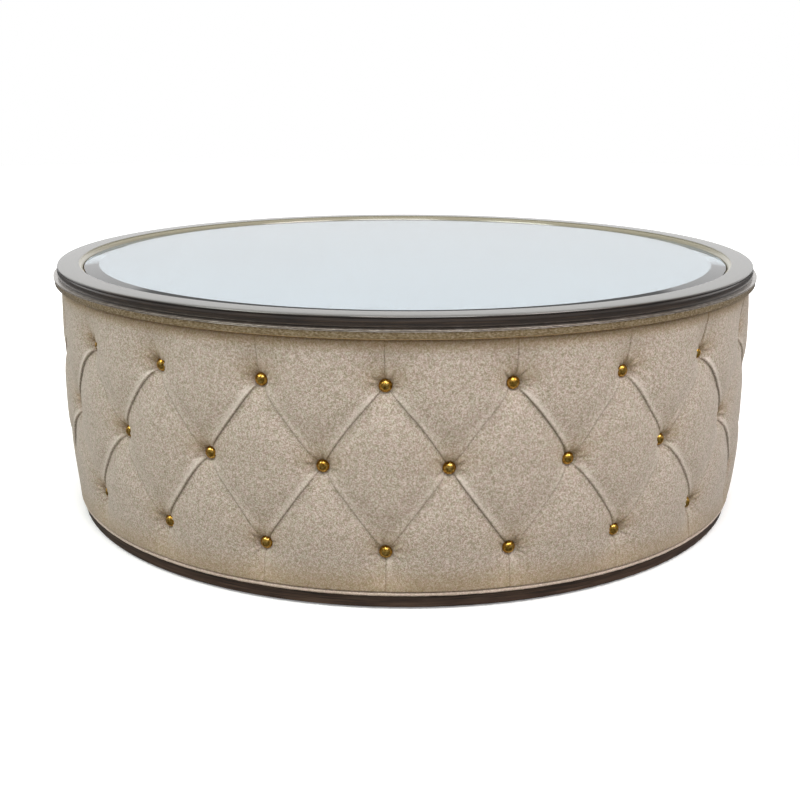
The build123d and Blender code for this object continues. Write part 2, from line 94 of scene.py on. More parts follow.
def speckled(name, size, stops, bump=0.0, **sockets):
    """A material whose colour follows one noise, and whose height does too where it has a bump.
    The noise's size and the bump's depth are in millimetres."""
    finish, tree, shader = new_finish(name, **sockets)
    place = add(tree, "ShaderNodeTexCoord")
    noise = add(
        tree,
        "ShaderNodeTexNoise",
        inputs={"Vector": place.outputs["Object"], "Scale": per_metre(size), "Detail": 4.0},
    )
    ramp = add(tree, "ShaderNodeValToRGB", inputs={"Fac": noise.outputs["Fac"]}, stops=stops)
    tree.links.new(ramp.outputs["Color"], shader.inputs["Base Color"])
    if bump:
        relief = add(
            tree,
            "ShaderNodeBump",
            inputs={"Height": noise.outputs["Fac"], "Distance": bump / 1000, "Strength": 0.6},
        )
        tree.links.new(relief.outputs["Normal"], shader.inputs["Normal"])
    return finish


def dress(finish, *names):
    """Gives the material to these nodes of the frame."""
    for name in names:
        made[name].data.materials.clear()
        made[name].data.materials.append(finish)


# nylon from a mould with a spark texture: dull black with a faint grain
moulded_nylon = speckled(
    "moulded_nylon_spark_texture",
    size=pad_texture,
    stops=[(0.3, pad_shadow), (0.7, pad_black)],
    bump=0.05,
    Roughness=0.55,
)
# steel with zinc on it: a cool grey shine with soft patches
plated_steel = speckled(
    "zinc_plated_steel",
    size=zinc_bloom,
    stops=[(0.35, zinc_shadow), (0.65, zinc_grey)],
    Metallic=1.0,
    Roughness=0.34,
)
dress(moulded_nylon, *(f"glide_pad_{i}" for i in glide_numbers))
dress(plated_steel, *(f"glide_stem_{i}" for i in glide_numbers), "tee_nuts")

# Plinth: a turned hardwood ring, stained near black-brown and lacquered satin,
# screwed up into the base panel. The grain runs round the ring.
stain_deep = "#150e09"
stain_mid = "#422f23"
stain_worn = "#5c4a3b"
streak_places = (0.32, 0.5, 0.72)  # where the deep, middle and worn stains stand in the noise
grain_width = 1.6  # across the streaks, in millimetres, coarser than real pores to show
grain_length = 70.0  # along them
pore_depth = 0.05


def grained(name, shades, gloss, coat, coat_gloss=0.22):
    """Wood whose streaks run round the table. The noise is read at a point whose level part is the
    surface's own over the grain's length, and whose height is the distance from the axis plus the
    height, over the grain's width. The nodes that another finish builds on are returned with it."""
    finish, tree, shader = new_finish(
        name, Roughness=gloss, Coat_Weight=coat, Coat_Roughness=coat_gloss
    )
    place = add(tree, "ShaderNodeTexCoord")
    parts = add(tree, "ShaderNodeSeparateXYZ", inputs={"Vector": place.outputs["Object"]})
    flat = add(
        tree, "ShaderNodeCombineXYZ", inputs={"X": parts.outputs["X"], "Y": parts.outputs["Y"]}
    )
    out = add(
        tree, "ShaderNodeVectorMath", {"operation": "LENGTH"}, {0: flat.outputs["Vector"]}
    )
    across = add(
        tree,
        "ShaderNodeMath",
        {"operation": "ADD"},
        {0: out.outputs["Value"], 1: parts.outputs["Z"]},
    )
    along = add(
        tree,
        "ShaderNodeVectorMath",
        {"operation": "SCALE"},
        {0: flat.outputs["Vector"], "Scale": per_metre(grain_length)},
    )
    fine = add(
        tree,
        "ShaderNodeMath",
        {"operation": "MULTIPLY"},
        {0: across.outputs["Value"], 1: per_metre(grain_width)},
    )
    lift = add(tree, "ShaderNodeCombineXYZ", inputs={"Z": fine.outputs["Value"]})
    where = add(
        tree,
        "ShaderNodeVectorMath",
        {"operation": "ADD"},
        {0: along.outputs["Vector"], 1: lift.outputs["Vector"]},
    )
    streaks = add(
        tree,
        "ShaderNodeTexNoise",
        inputs={"Vector": where.outputs["Vector"], "Scale": 1.0, "Detail": 6.0, "Roughness": 0.6},
    )
    ramp = add(
        tree,
        "ShaderNodeValToRGB",
        inputs={"Fac": streaks.outputs["Fac"]},
        stops=list(zip(streak_places, shades)),
    )
    tree.links.new(ramp.outputs["Color"], shader.inputs["Base Color"])
    pores = add(
        tree,
        "ShaderNodeBump",
        inputs={
            "Height": streaks.outputs["Fac"],
            "Distance": pore_depth / 1000,
            "Strength": 0.5,
        },
    )
    tree.links.new(pores.outputs["Normal"], shader.inputs["Normal"])
    return finish, tree, shader, ramp, parts, out


# stained hardwood under satin lacquer: dark streaks round the ring and a soft, low shine
stained_wood = grained(
    "stained_hardwood_satin_lacquer",
    shades=(stain_deep, stain_mid, stain_worn),
    gloss=0.5,
    coat=0.5,
)[0]
dress(stained_wood, "plinth_ring")

# Base panel, hoops, ribs, rails and dowels: the hidden frame of birch plywood and beech,
# cut to shape, glued, and screwed together with plated steel screws.

# sanded birch plywood: a pale, even yellow-brown
birch = speckled(
    "birch_plywood_sanded",
    size=9.0,  # between the bands of its veneer
    stops=[(0.3, "#c9a877"), (0.7, "#e0c79b")],
    bump=0.04,
    Roughness=0.62,
)
# planed beech: a warmer brown with short flecks
beech = speckled(
    "beech_planed",
    size=6.0,  # its flecks
    stops=[(0.3, "#b98f63"), (0.7, "#d2ab7d")],
    bump=0.04,
    Roughness=0.58,
)
dress(birch, "base_panel", "middle_hoop", "upper_hoop", "top_panel", "mirror_bed")
dress(beech, "lower_ribs", "upper_ribs", "cross_rail_long", "cross_rail_short", "rail_dowels")
dress(plated_steel, "plinth_screws", "rib_screws", "panel_screws", "rim_screws")

# Drum skin and foam: thin hardboard bent round the ribs and stapled, and a layer of
# firm polyurethane foam glued round it. Both are hidden by the cover.

# pressed hardboard: brown fibres, matt
hardboard = speckled(
    "hardboard_pressed",
    size=1.8,  # its bundles of fibre
    stops=[(0.3, "#6b4a30"), (0.7, "#87633f")],
    bump=0.05,
    Roughness=0.7,
)
# cut foam: dull yellow with open cells
cushion_foam = speckled(
    "polyurethane_foam_cut",
    size=1.2,  # its cells
    stops=[(0.3, "#cfc07a"), (0.7, "#e6dba2")],
    bump=0.3,
    Roughness=0.9,
)
dress(hardboard, "drum_skin")
dress(cushion_foam, "foam_layer")

# Dust cover: a disc of black spunbond cambric, cut to fit inside the plinth ring and
# stapled under the base panel. It hangs a few millimetres slack in the middle.
dust_low, dust_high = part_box("dust_cover")
dust_radius = 1000 * dust_high[0]
dust_eye = 0.5  # the pinhole in which the rings of faces meet
dust_sag = 3.0
dust_rings = 16
dust_turns = 180
dust_crease = 30  # degrees, over which its cut edge stays sharp


def grid_piece(name, points, round_too=True):
    """A mesh from a grid of points, with one face between each four neighbours. The first way of
    the grid always closes on itself, and the second does if asked."""
    columns, rows = points.shape[:2]
    index = np.arange(columns * rows).reshape(columns, rows)
    along = np.roll(index, -1, 0)
    up = np.roll(index, -1, 1)
    both = np.roll(along, -1, 1)
    cut = slice(None) if round_too else slice(None, -1)
    quads = np.stack([index, along, both, up], -1)[:, cut].reshape(-1, 4)
    mesh = bpy.data.meshes.new(name)
    mesh.vertices.add(columns * rows)
    mesh.vertices.foreach_set("co", points.astype(np.float32).ravel())
    mesh.loops.add(quads.size)
    mesh.loops.foreach_set("vertex_index", quads.astype(np.int32).ravel())
    mesh.polygons.add(len(quads))
    mesh.polygons.foreach_set("loop_start", np.arange(0, quads.size, 4, dtype=np.int32))
    mesh.update(calc_edges=True)
    mesh.shade_smooth()
    piece = bpy.data.objects.new(name, mesh)
    bpy.context.scene.collection.objects.link(piece)
    return piece


def about_axis(angles, radii, heights):
    """Points in metres from bearings, and radii and heights in millimetres: radius times cosine,
    radius times sine, and height."""
    heights = heights * np.ones_like(radii)
    return np.stack([radii * np.cos(angles), radii * np.sin(angles), heights], -1) / 1000


def swept(name, radii, heights, turns, round_too=True):
    """A piece turned about the table's axis from one outline, given as radii and heights."""
    angles = np.linspace(0, 2 * np.pi, turns, endpoint=False)[:, None]
    rows = np.ones((turns, 1))
    return grid_piece(name, about_axis(angles, rows * radii, rows * heights), round_too)


# spunbond cambric: near black and quite matt, with a fine mottle of fibres
cambric = speckled(
    "black_cambric_spunbond",
    size=0.9,  # its clumps of fibre, coarser than real to show
    stops=[(0.3, "#101010"), (0.7, "#26262a")],
    bump=0.06,
    Roughness=0.92,
)
# the outline runs out along the top and back along the underside, and sags as a parabola
out = np.linspace(dust_eye, dust_radius, dust_rings)
dust_radii = np.concatenate([out, out[::-1]])
dust_levels = 1000 * np.repeat([dust_high[2], dust_low[2]], dust_rings)
dust_heights = dust_levels - dust_sag * (1 - (dust_radii / dust_radius) ** 2)
dust_sheet = swept("dust_cover_cambric", dust_radii, dust_heights, dust_turns)
dust_sheet.data.flip_normals()
dust_sheet.data.set_sharp_from_angle(angle=np.radians(dust_crease))
dust_sheet.data.materials.append(cambric)
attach(dust_sheet, "table")
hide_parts("dust_cover")

# Tufted cover: beige tweed over a soft filling, drawn in by three rows of buttons. Pleats
# are tucked from each button to its neighbours in the next row, and upright ones from the
# outer rows to the band and the welt, where the cloth is stapled.
button_count = 21
row_heights = np.array([325.0, 208.3, 86.2])
row_turns = (0.0, 0.5, 0.0)  # the middle row stands half a pitch round
cover_low, cover_high = 27.6, 390.8
seat_radius = 580.4  # of the cloth under a button
crest_radius = 606.0  # of the fullest cloth
top_radius, foot_radius = 593.5, 586.6
inner_radius = 575.6
lip = 1.5  # how far the top and bottom edges roll in before the back
steps_per_pitch = 90
row_count = 183
pinned_reach = 11.4  # the cloth that a button holds down, from its middle
dimple_width = 0.62  # under 1 steepens the well that each button draws
tuft_seed = 41
unfolded = 50.0  # the distance given to cloth that is near no pleat

pitch = 2 * np.pi / button_count
arc = pitch * crest_radius
column_count = button_count * steps_per_pitch
bearing = np.arange(column_count) * pitch / steps_per_pitch - np.pi / 2
turn = np.arange(column_count) / steps_per_pitch
height = np.linspace(cover_low, cover_high, row_count)
grid_turn, grid_height = np.meshgrid(turn, height, indexing="ij")
chance = np.random.default_rng(tuft_seed)


def wrapped(turns):
    """The same place within half a pitch of the nearest whole number, and that number."""
    nearest = np.round(turns)
    return turns - nearest, nearest.astype(int) % button_count


def uneven(low, high):
    """One chance value for each button bearing, between the two."""
    return chance.uniform(low, high, button_count)


def smooth(x, start, end):
    """Nought before start, one after end, and an even S between."""
    t = np.clip((x - start) / (end - start), 0, 1)
    return t * t * (3 - 2 * t)


def bell(distance, reach):
    """One at nought, and e to the minus square of distance over reach beyond it."""
    return np.exp(-((distance / reach) ** 2))


# the way round and up from the nearest button of each row, in millimetres, and its number
from_button = []
for offset, level in zip(row_turns, row_heights):
    side, number = wrapped(grid_turn - offset)
    from_button.append((side * arc, grid_height - level, number))


def filled(pull, tries, start_drop, free_span):
    """The cover as a skin under even pressure, held at its edges and buttons. Each point goes to
    the weighted mean of its four neighbours plus the pull, again and again. The usual speeding-up
    of such rounds goes by the free span, the widest stretch of loose cloth in steps."""
    held = np.zeros(grid_turn.shape, bool)
    level = np.full(grid_turn.shape, crest_radius - start_drop)
    for side, up, number in from_button:
        held |= np.hypot(side, up) < pinned_reach
    level[held] = seat_radius
    held[:, 0] = held[:, -1] = True
    level[:, 0], level[:, -1] = foot_radius, top_radius
    fixed, older, speed = level.copy(), level.copy(), 1.0
    width, rise = arc / steps_per_pitch, height[1] - height[0]
    weights = np.array([1 / width**2, 1 / rise**2])
    weights /= 2 * weights.sum()
    reach = 1 - 0.5 * (np.pi / free_span) ** 2
    for i in range(tries):
        up = np.empty_like(level)
        up[:, 1:-1] = level[:, 2:] + level[:, :-2]
        up[:, 0] = up[:, -1] = 2 * level[:, 0]
        around = np.roll(level, 1, 0) + np.roll(level, -1, 0)
        mean = weights[0] * around + weights[1] * up + pull
        mean[held] = fixed[held]
        speed = 1.0 if i == 0 else 1 / (1 - reach**2 * speed / (2 if i == 1 else 4))
        level, older = speed * (mean - older) + older, level
        level[held] = fixed[held]
    return level


cover = filled(pull=0.0040, tries=400, start_drop=6.0, free_span=120)
drawn = (cover - seat_radius) / (crest_radius - seat_radius)
cover = seat_radius + (crest_radius - seat_radius) * np.clip(drawn, 0, None) ** dimple_width

fold_offset = np.full(grid_turn.shape, unfolded)
crease_shadow_depth = np.zeros(grid_turn.shape)
roll_highlight = np.zeros(grid_turn.shape)
relief = np.zeros(grid_turn.shape)

# how a pleat is formed, in millimetres: the step of the cloth that laps over it, how fast that
# rises and falls away, the tuck, the same at the pleat's ends, and the broad valley it lies in
lap_step, lap_rise, lap_fall = 4.9, 0.7, 5.0
tuck_depth, end_tuck_depth, tuck_reach = 0.5, 2.5, 6.0
valley_depth, valley_reach = 5.2, 24.0
fold_edge, fold_gone = 11.0, 14.0  # where its painted crease shadow and painted highlight stop counting
# and by shares of its length or strength: the end that tucks deeper, and how lap, painted crease
# shadow and painted highlight go from the start of a pleat to its end
end_share = 0.15
lap_start, lap_loss = 1.2, 0.5
crease_shadow_start, crease_shadow_gain = 0.85, 0.35
highlight_start, highlight_loss, highlight_power = 1.1, 1.0, 1.5


def pleat(turns, along, share, slope, bow, depth, hang, valley):
    """Lays one family of pleats. Turns is the way round from a straight line between two buttons,
    along runs from 0 to 1 down it, and the bow bends it by a sine. Distance is measured square to
    it. The cloth on the side that hang points to rises by one minus an exponential, which makes a
    sharp lap, and falls back by another; a bell on each line is taken off for the tuck, and a wide
    one for the valley. Each point also keeps its distance, the depth of the painted crease shadow,
    and the strength of the painted highlight on the rolled edge above it."""
    side, number = wrapped(turns)
    distance = (side * arc - bow[number] * np.sin(np.pi * along)) * slope
    strength = depth[number] * share
    up = distance * hang
    ends = np.exp(-along / end_share) + np.exp(-(1 - along) / end_share)
    lap = np.clip(up, 0, None)
    lapped = (1 - np.exp(-lap / lap_rise)) * np.exp(-lap / lap_fall)
    relief[:] += strength * lap_step * (lap_start - lap_loss * along) * lapped
    relief[:] -= strength * (tuck_depth + end_tuck_depth * ends) * bell(distance, tuck_reach)
    broad = np.sin(np.pi * along) ** 2 * bell(distance, valley_reach)
    relief[:] -= valley_depth * valley * broad
    near = (np.abs(distance) < np.abs(fold_offset)) & (share > 0)
    fade = smooth(-np.abs(distance), -fold_gone, -fold_edge)
    fold_offset[near] = up[near]
    # how deep the painted crease shadow is along the pleat
    crease = crease_shadow_start + crease_shadow_gain * along
    crease_shadow_depth[near] = (strength * crease * fade)[near]
    # how strong the painted highlight on the rolled edge above the pleat is
    light = highlight_start - highlight_loss * along
    roll_highlight[near] = (strength**highlight_power * fade * light)[near]


# the diamonds' pleats: two families that lean opposite ways. Each fades in and out at its ends,
# bows by chance, and is tucked deeper where it runs down and away from the front.
begins, begun = 0.05, 0.09
ending, ended = 0.91, 0.95
least_bow, most_bow = -2.0, 7.0
least_tuck, most_tuck = 0.75, 1.15
least_lean, full_lean = -0.3, 0.45
toward_front = 0.5  # the depth, as a share, of those that run down towards the front
for upper, lower, first in ((0, 1, 0.0), (1, 2, 0.5)):
    run = row_heights[upper] - row_heights[lower]
    slope = run / np.hypot(run, arc / 2)
    fall = (row_heights[upper] - grid_height) / run
    inside = (fall > 0) & (fall < 1)
    along = np.clip(fall, 0, 1)
    faded = smooth(along, begins, begun) * smooth(-along, -ended, -ending)
    share = np.where(inside, faded, 0)
    for way in (1, -1):
        leaning = way * np.sin((np.arange(button_count) + first + way * 0.25) * pitch)
        tucked = toward_front + (1 - toward_front) * smooth(leaning, least_lean, full_lean)
        pleat(
            grid_turn - first - way * 0.5 * along,
            along,
            share,
            slope,
            bow=way * uneven(least_bow, most_bow),
            depth=uneven(least_tuck, most_tuck) * tucked,
            hang=way,
            valley=1.0,
        )
# the upright pleats, from the outer rows to the band and to the welt, which fade as they go
upright_begins, upright_begun, upright_loss = 0.04, 0.16, 0.3
upright_bow = 3.0
for start, end, amount in (
    (row_heights[0], cover_high, 0.95),
    (row_heights[2], cover_low, 0.75),
):
    along = np.clip((grid_height - start) / (end - start), 0, 1)
    beyond = (grid_height - start) * (end - start) > 0
    faded = smooth(along, upright_begins, upright_begun) * (1 - upright_loss * along)
    share = np.where(beyond, faded, 0)
    pleat(
        grid_turn,
        along,
        share,
        slope=1.0,
        bow=uneven(-upright_bow, upright_bow),
        depth=uneven(0.6, 1.0) * amount,
        hang=1,
        valley=0.5,
    )

# gathers: short creases that fan out from each button and die away, as cosines of the angle about
# it, stronger above it
gather_counts = (8, 12, 17)
gather_depth, gather_more, gather_above = 1.1, 0.7, 12.0
gather_ring, gather_reach = 15.0, 8.0
least_gather, whole_turn = 0.3, 6.28
for side, up, number in from_button:
    away = np.hypot(side, up)
    angle = np.arctan2(up, side)
    fan = np.zeros_like(away)
    for count in gather_counts:
        start = uneven(0, whole_turn)[number]
        fan += np.cos(count * angle + start) * uneven(least_gather, 1.0)[number]
    depth = gather_depth + gather_more * smooth(up, 0.0, gather_above)
    relief += depth * fan * bell(away - gather_ring, gather_reach)

# painted shade, olive brown: from one height up under the band, from another down to the foot,
# and close round each button and more widely above it
band_start, band_full = 368.0, 388.0
foot_start, foot_full, foot_share = 80.0, 30.0, 0.9
near_reach, below_share = 22.0, 0.2
near_start, near_full = -8.0, 12.0  # up from the button's middle
wide_reach, wide_share = 44.0, 0.25
wide_start, wide_full = -10.0, 20.0
button_edge, fold_start = 9.4, 12.4  # between them each fold dies, so that none climbs on a button
painted_shade = smooth(grid_height, band_start, band_full)
painted_shade += foot_share * smooth(-grid_height, -foot_start, -foot_full)
for side, up, number in from_button:
    away = np.hypot(side, up)
    above = smooth(up, near_start, near_full)
    painted_shade += bell(away, near_reach) * (below_share + (1 - below_share) * above)
    painted_shade += wide_share * bell(away, wide_reach) * smooth(up, wide_start, wide_full)
    relief *= smooth(away, button_edge, fold_start)

cover = np.maximum(cover + relief, seat_radius)
cover[:, 0], cover[:, -1] = foot_radius, top_radius

# the closed form: the tufted face, then over the top edge, down the flat back and under
turned_in = 0.1  # how far the edges stand past the face, up and down
back = np.array(
    [
        [top_radius - lip, cover_high + turned_in],
        [inner_radius, cover_high + turned_in],
        [inner_radius, 300.0],
        [inner_radius, 150.0],
        [inner_radius, cover_low - turned_in],
        [foot_radius - lip, cover_low - turned_in],
    ]
)
ones = np.ones((column_count, 1))
all_radii = np.hstack([cover, ones * back[:, 0]])
all_heights = np.hstack([grid_height, ones * back[:, 1]])
tufted = grid_piece("tufted_tweed_cover", about_axis(bearing[:, None], all_radii, all_heights))
for name, values, elsewhere in (
    ("fold_offset", fold_offset, unfolded),
    ("crease_shadow_depth", crease_shadow_depth, 0.0),
    ("roll_highlight", roll_highlight, 0.0),
    ("painted_olive_shade", np.clip(painted_shade, 0, 1), 0.0),
):
    everywhere = np.hstack([values, np.full((column_count, len(back)), elsewhere)])
    attribute = tufted.data.attributes.new(name, "FLOAT", "POINT")
    attribute.data.foreach_set("value", everywhere.astype(np.float32).ravel())

tweed_light = "#cec6be"
tweed_mid = "#a59c90"
tweed_dark = "#7b705e"
tweed_pink = "#b8a19a"
tweed_olive = "#9c967e"
# the crease colour below is a painted shadow along each pleat
crease_shadow_brown = "#37301c"
# the brushed colour below is a painted highlight on the rolled edge over each pleat
roll_highlight_cream = "#ded7d0"
# the nap colour below is painted olive-brown shade under the band, at the foot and round the buttons
shade_olive_brown = "#9a7c40"
# the stretched colour below paints the welt lighter all over, as painted light
welt_painted_light = "#dfc9bb"
curl_size = 2.3  # the curl of the yarn, in millimetres
curl_height = 1.2
mottle_size = 6.0  # how far one tint of yarn runs, in millimetres
crease_width = 0.8  # half the painted shadow line at a pleat, in millimetres
roll_full, roll_fades, roll_gone = 3.0, 2.5, 15.0  # the painted highlight on the rolled edge, in millimetres above a pleat
tint_strength = 0.38
crease_shadow_strength = 0.66
roll_highlight_strength = 0.44
olive_shade_strength = 0.4
welt_light_strength = 0.32
one_over_e = 0.37


def tweed(name, folded):
    """Nubby tweed. One bent noise is the curled yarn, in colour and height, and a wider one tints
    it from olive to pink. Where the cloth is folded, a painted crease shadow, a dark line with a
    bell's edge, follows each pleat, a painted highlight lightens the rolled edge above it, and
    painted olive shade darkens it under the band, at the foot and round the buttons. Where it isn't,
    as on the welt, the whole cloth is painted lighter, a lit copy of the tweed."""
    finish, tree, shader = new_finish(
        name, Roughness=0.88, Sheen_Weight=0.25, Sheen_Roughness=0.5, Specular_IOR_Level=0.25
    )
    place = add(tree, "ShaderNodeTexCoord")
    curls = add(
        tree,
        "ShaderNodeTexNoise",
        inputs={
            "Vector": place.outputs["Object"],
            "Scale": per_metre(curl_size),
            "Detail": 1.3,
            "Roughness": 0.5,
            "Distortion": 1.2,
        },
    )
    yarn = add(
        tree,
        "ShaderNodeValToRGB",
        inputs={"Fac": curls.outputs["Fac"]},
        stops=[(0.36, tweed_dark), (0.5, tweed_mid), (0.62, tweed_light)],
    )
    patches = add(
        tree,
        "ShaderNodeTexNoise",
        inputs={
            "Vector": place.outputs["Object"],
            "Scale": per_metre(mottle_size),
            "Detail": 3.0,
        },
    )
    tint = add(
        tree,
        "ShaderNodeValToRGB",
        inputs={"Fac": patches.outputs["Fac"]},
        stops=[(0.38, tweed_olive), (0.62, tweed_pink)],
    )
    cloth = add(
        tree,
        "ShaderNodeMix",
        {"data_type": "RGBA"},
        {"Factor": tint_strength, 6: yarn.outputs["Color"], 7: tint.outputs["Color"]},
    )
    if folded:
        offset = add(tree, "ShaderNodeAttribute", {"attribute_name": "fold_offset"})
        depth = add(tree, "ShaderNodeAttribute", {"attribute_name": "crease_shadow_depth"})
        scaled = add(
            tree,
            "ShaderNodeMath",
            {"operation": "DIVIDE"},
            {0: offset.outputs["Fac"], 1: crease_width},
        )
        square = add(
            tree,
            "ShaderNodeMath",
            {"operation": "MULTIPLY"},
            {0: scaled.outputs["Value"], 1: scaled.outputs["Value"]},
        )
        line = add(
            tree,
            "ShaderNodeMath",
            {"operation": "POWER"},
            {0: one_over_e, 1: square.outputs["Value"]},
        )
        dark = add(
            tree,
            "ShaderNodeMath",
            {"operation": "MULTIPLY"},
            {0: line.outputs["Value"], 1: depth.outputs["Fac"]},
        )
        most = add(
            tree,
            "ShaderNodeMath",
            {"operation": "MULTIPLY"},
            {0: dark.outputs["Value"], 1: crease_shadow_strength},
        )
        # painted crease shadow: dark brown mixed in along each pleat
        crease_shadowed = add(
            tree,
            "ShaderNodeMix",
            {"data_type": "RGBA"},
            {"Factor": most.outputs["Value"], 6: cloth.outputs[2], 7: linear(crease_shadow_brown)},
        )
        # painted highlight: the rolled edge above each pleat is mixed towards pale cream
        rolled = add(
            tree,
            "ShaderNodeMapRange",
            {"interpolation_type": "SMOOTHSTEP"},
            {"Value": offset.outputs["Fac"], "From Min": crease_width, "From Max": roll_full},
        )
        fallen = add(
            tree,
            "ShaderNodeMapRange",
            {"interpolation_type": "SMOOTHSTEP"},
            {
                "Value": offset.outputs["Fac"],
                "From Min": roll_fades,
                "From Max": roll_gone,
                "To Min": roll_highlight_strength,
                "To Max": 0.0,
            },
        )
        light = add(tree, "ShaderNodeAttribute", {"attribute_name": "roll_highlight"})
        edge = add(
            tree,
            "ShaderNodeMath",
            {"operation": "MULTIPLY"},
            {0: rolled.outputs["Result"], 1: fallen.outputs["Result"]},
        )
        roll_highlight_amount = add(
            tree,
            "ShaderNodeMath",
            {"operation": "MULTIPLY"},
            {0: edge.outputs["Value"], 1: light.outputs["Fac"]},
        )
        lit = add(
            tree,
            "ShaderNodeMix",
            {"data_type": "RGBA"},
            {"Factor": roll_highlight_amount.outputs["Value"], 6: crease_shadowed.outputs[2], 7: linear(roll_highlight_cream)},
        )
        # painted shade: olive brown mixed in under the band, at the foot and round the buttons
        nap = add(tree, "ShaderNodeAttribute", {"attribute_name": "painted_olive_shade"})
        browner = add(
            tree,
            "ShaderNodeMath",
            {"operation": "MULTIPLY"},
            {0: nap.outputs["Fac"], 1: olive_shade_strength},
        )
        shown = add(
            tree,
            "ShaderNodeMix",
            {"data_type": "RGBA"},
            {"Factor": browner.outputs["Value"], 6: lit.outputs[2], 7: linear(shade_olive_brown)},
        )
    else:
        # painted light: the welt's tweed is mixed towards a pale colour all over
        shown = add(
            tree,
            "ShaderNodeMix",
            {"data_type": "RGBA"},
            {"Factor": welt_light_strength, 6: cloth.outputs[2], 7: linear(welt_painted_light)},
        )
    tree.links.new(shown.outputs[2], shader.inputs["Base Color"])
    weave = add(
        tree,
        "ShaderNodeBump",
        inputs={
            "Height": curls.outputs["Fac"],
            "Distance": curl_height / 1000,
            "Strength": 0.5,
        },
    )
    tree.links.new(weave.outputs["Normal"], shader.inputs["Normal"])
    return finish


# woven tweed of curled yarn: dull and nubby, mottled pink and olive, with a painted shadow in its
# pleats, a painted highlight on their rolled edges and painted olive shade under the band, at the
# foot and round the buttons
tufted.data.materials.append(tweed("beige_tweed_tufted", folded=True))
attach(tufted, "table")
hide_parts("tufted_cover")

# Buttons: domed shells of antique brass, tied through the foam with waxed twine to
# small plastic discs inside the drum skin.
brass_deep = "#75521a"
brass_mid = "#c99d45"
brass_high = "#f6dc92"
button_rows = ("upper_buttons", "middle_buttons", "lower_buttons")
# aged brass under lacquer: a deep gold that is browner in patches, with a soft shine
antique_brass = speckled(
    "antique_brass_lacquered",
    size=3.2,  # its browner patches
    stops=[(0.3, brass_deep), (0.52, brass_mid), (0.8, brass_high)],
    bump=0.08,
    Metallic=1.0,
    Roughness=0.25,
)
# waxed twine: cream strands with a slight shine
twine = speckled(
    "waxed_polyester_twine",
    size=0.8,  # its strands
    stops=[(0.3, "#c8bfa6"), (0.7, "#e6dfca")],
    Roughness=0.6,
)
# moulded polypropylene: plain milky white
disc_white = speckled(
    "white_polypropylene_moulded",
    size=0.8,  # the mould's texture, coarser than real to show
    stops=[(0.3, "#d9d9d4"), (0.7, "#ecece8")],
    Roughness=0.45,
)
dress(antique_brass, *button_rows)
dress(twine, "button_ties")
dress(disc_white, "tie_discs")

# Welt: a cord in a bias strip of the same tweed, stapled round the foot of the drum,
# where it closes the joint between the cover and the plinth.
welt_radius = 2.9
welt_ring = 588.0
welt_height = 25.1
welt_turns, welt_sides = 1260, 14
short_depth, short_count = 0.10, 190
long_depth, long_count = 0.12, 71
sway, sway_count = 1.3, 9
ring, round_it = np.meshgrid(
    np.linspace(0, 2 * np.pi, welt_turns, endpoint=False),
    np.linspace(0, 2 * np.pi, welt_sides, endpoint=False),
    indexing="ij",
)
# the strip puckers: a short sine runs across the cord aslant, and a longer one along it, whose
# waves sway closer and wider
short_pucker = short_depth * np.sin(ring * short_count + round_it)
long_pucker = long_depth * np.sin(ring * long_count + sway * np.cos(ring * sway_count))
tube = welt_radius + (short_pucker + long_pucker)
welt = grid_piece(
    "welt_in_tweed",
    about_axis(ring, welt_ring + tube * np.cos(round_it), welt_height + tube * np.sin(round_it)),
)
# the same tweed, painted lighter all over: a lit copy of the cloth, as painted light
welt.data.materials.append(tweed("beige_tweed_welt", folded=False))
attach(welt, "table")
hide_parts("welt_cord")

# Leaf band and bead: turned wood rings under the rim's overhang, in champagne metal
# leaf, toned and clear-coated. The bead is turned with two fine reeds.
leaf_low = "#937d5c"
leaf_mid = "#b9a27c"
leaf_high = "#d9c8a8"
bright_low = "#8b8175"
bright_mid = "#a89d92"
bright_high = "#c6bdb4"
leaf_fleck = 1.8  # the toning's specks, in millimetres
leaf_relief = 0.12
ring_turns = 900
ring_crease = 28  # degrees, over which an edge stays sharp


def leafed(name, shades, along):
    """Metal leaf: noise in specks that are drawn out level by so many times, under a clear coat."""
    finish, tree, shader = new_finish(
        name, Metallic=0.8, Roughness=0.42, Coat_Weight=1.0, Coat_Roughness=0.14
    )
    place = add(tree, "ShaderNodeTexCoord")
    lengthen = add(
        tree,
        "ShaderNodeVectorMath",
        {"operation": "MULTIPLY"},
        {0: place.outputs["Object"], 1: (1 / along, 1 / along, 1.0)},
    )
    noise = add(
        tree,
        "ShaderNodeTexNoise",
        inputs={
            "Vector": lengthen.outputs["Vector"],
            "Scale": per_metre(leaf_fleck),
            "Detail": 5.0,
        },
    )
    ramp = add(
        tree,
        "ShaderNodeValToRGB",
        inputs={"Fac": noise.outputs["Fac"]},
        stops=[(0.34, shades[0]), (0.5, shades[1]), (0.68, shades[2])],
    )
    tree.links.new(ramp.outputs["Color"], shader.inputs["Base Color"])
    specks = add(
        tree,
        "ShaderNodeBump",
        inputs={
            "Height": noise.outputs["Fac"],
            "Distance": leaf_relief / 1000,
            "Strength": 0.5,
        },
    )
    tree.links.new(specks.outputs["Normal"], shader.inputs["Normal"])
    return finish


def arc_run(centre, radius, start, end, steps):
    """Points of an arc in the plane of radius and height: the centre, plus the arc's radius turned
    from start to end, in degrees."""
    angles = np.radians(np.linspace(start, end, steps))
    return np.stack(
        [centre[0] + radius * np.cos(angles), centre[1] + radius * np.sin(angles)], 1
    )


def turned_ring(name, outline):
    """A ring turned about the table's axis from a closed outline, which goes up on the outside and
    down on the inside."""
    outline = np.concatenate(outline)
    turned = swept(name, outline[:, 0], outline[:, 1], ring_turns)
    turned.data.set_sharp_from_angle(angle=np.radians(ring_crease))
    return turned


